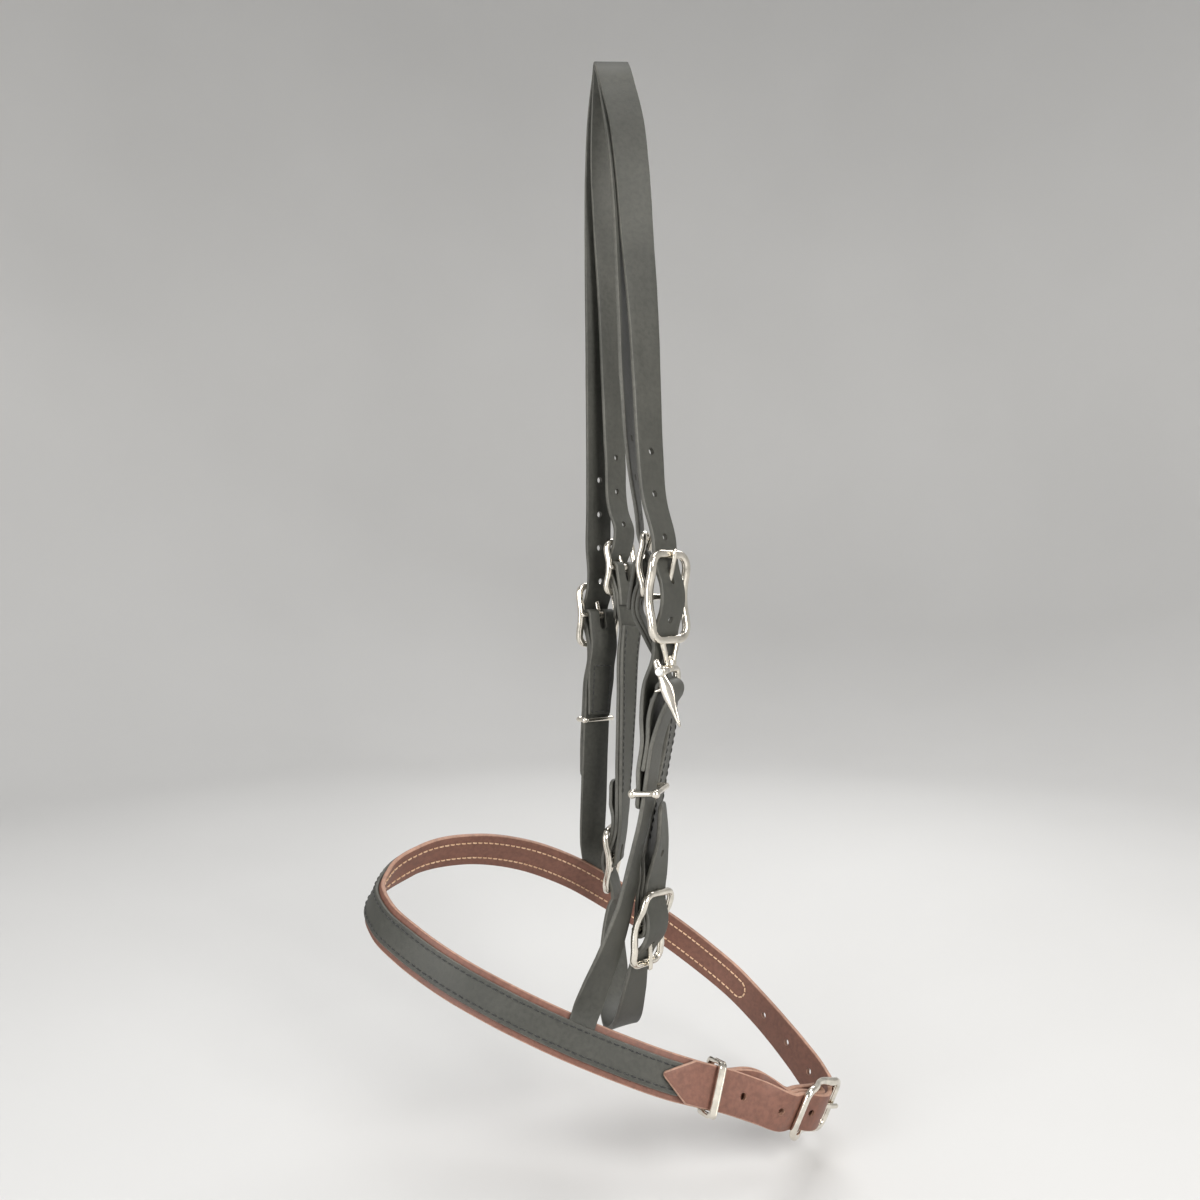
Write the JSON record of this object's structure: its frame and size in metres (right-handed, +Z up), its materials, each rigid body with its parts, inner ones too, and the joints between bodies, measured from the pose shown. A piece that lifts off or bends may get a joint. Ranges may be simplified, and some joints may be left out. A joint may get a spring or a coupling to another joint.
{
  "type": "bitless hackamore headstall",
  "caption": "Bitless bridle headstall with double crown, snap-fastened cheek, throat lash, and stitched two-tone noseband with chin buckle.",
  "frame": {"origin": "middle of the underside of the crown, where it rests on the poll or on a bridle hook", "axes": "+Z up, -X towards the horse's nose, -Y the near (left) side"},
  "size_m": [0.2674, 0.1604, 0.5983],
  "materials": {
    "black_leather": "matte, fine grain",
    "brown_leather": "satin, fine grain",
    "nickel": "polished nickel",
    "spring_steel": "bright wire"
  },
  "bodies": {
    "headstall": {"crown_strap": "black_leather", "throat_crown_strap": "black_leather", "near_cheek_strap": "black_leather", "far_cheek_strap": "black_leather", "far_cheek_lap": "black_leather", "near_throat_hanger": "black_leather", "far_throat_hanger": "black_leather", "throat_strap": "black_leather", "noseband_base": "brown_leather", "noseband_overlay": "black_leather", "snap_buckle_frame": "nickel", "far_crown_buckle_frame": "nickel", "near_adjuster_frame": "nickel", "far_adjuster_frame": "nickel", "near_throat_buckle_frame": "nickel", "far_throat_buckle_frame": "nickel", "chin_buckle_frame": "nickel", "near_cheek_keeper": "nickel", "far_cheek_keeper": "nickel"},
    "snap_hook": {"snap_hook": "nickel", "snap_pivot_pin": "spring_steel", "snap_spring": "spring_steel"},
    "snap_lever": {"snap_lever": "nickel"},
    "chin_keeper": {"chin_keeper": "nickel"},
    "snap_buckle_tongue": {"snap_buckle_tongue": "nickel"},
    "far_crown_buckle_tongue": {"far_crown_buckle_tongue": "nickel"},
    "near_adjuster_tongue": {"near_adjuster_tongue": "nickel"},
    "far_adjuster_tongue": {"far_adjuster_tongue": "nickel"},
    "near_throat_buckle_tongue": {"near_throat_buckle_tongue": "nickel"},
    "far_throat_buckle_tongue": {"far_throat_buckle_tongue": "nickel"},
    "chin_buckle_tongue": {"chin_buckle_tongue": "nickel"}
  },
  "joints": [
    {"name": "snap_swivel", "type": "hinge", "parent": "headstall", "child": "snap_hook", "pos_m": [0.0293, -0.063, -0.3465], "axis": [0, 0, 1], "range_deg": [-4, 4]},
    {"name": "snap_lever_press", "type": "hinge", "parent": "snap_hook", "child": "snap_lever", "pos_m": [0.0293, -0.063, -0.3377], "axis": [0.342, 0.9397, 0], "range_deg": [0, 20], "stiffness_Nm_per_rad": 0.02, "springref_deg": -17.19},
    {"name": "chin_keeper_slide", "type": "slide", "parent": "headstall", "child": "chin_keeper", "axis": [0.9031, 0.2609, -0.3412], "range_m": [-0.0025, 0.0025]},
    {"name": "snap_buckle_tongue_hinge", "type": "hinge", "parent": "headstall", "child": "snap_buckle_tongue", "pos_m": [0.0275, -0.0615, -0.301], "axis": [0.6428, 0.766, 0], "range_deg": [0, 10]},
    {"name": "far_crown_buckle_tongue_hinge", "type": "hinge", "parent": "headstall", "child": "far_crown_buckle_tongue", "pos_m": [-0.0065, 0.06, -0.312], "axis": [-0.809, -0.5878, 0], "range_deg": [0, 10]},
    {"name": "near_adjuster_tongue_hinge", "type": "hinge", "parent": "headstall", "child": "near_adjuster_tongue", "pos_m": [0.016, -0.044, -0.2845], "axis": [0.1736, 0.9848, 0], "range_deg": [0, 10]},
    {"name": "far_adjuster_tongue_hinge", "type": "hinge", "parent": "headstall", "child": "far_adjuster_tongue", "pos_m": [0.008, 0.05, -0.2825], "axis": [-0.6428, -0.766, 0], "range_deg": [0, 10]},
    {"name": "near_throat_buckle_tongue_hinge", "type": "hinge", "parent": "headstall", "child": "near_throat_buckle_tongue", "pos_m": [0.019, -0.055, -0.4705], "axis": [-0.5697, -0.8136, 0.1163], "range_deg": [0, 10]},
    {"name": "far_throat_buckle_tongue_hinge", "type": "hinge", "parent": "headstall", "child": "far_throat_buckle_tongue", "pos_m": [0.003, 0.045, -0.4615], "axis": [0.2588, 0.9659, 0], "range_deg": [0, 10]},
    {"name": "chin_buckle_tongue_hinge", "type": "hinge", "parent": "headstall", "child": "chin_buckle_tongue", "pos_m": [0.108, -0.03, -0.5755], "axis": [-0.3735, 0.0261, -0.9273], "range_deg": [0, 10]}
  ]
}
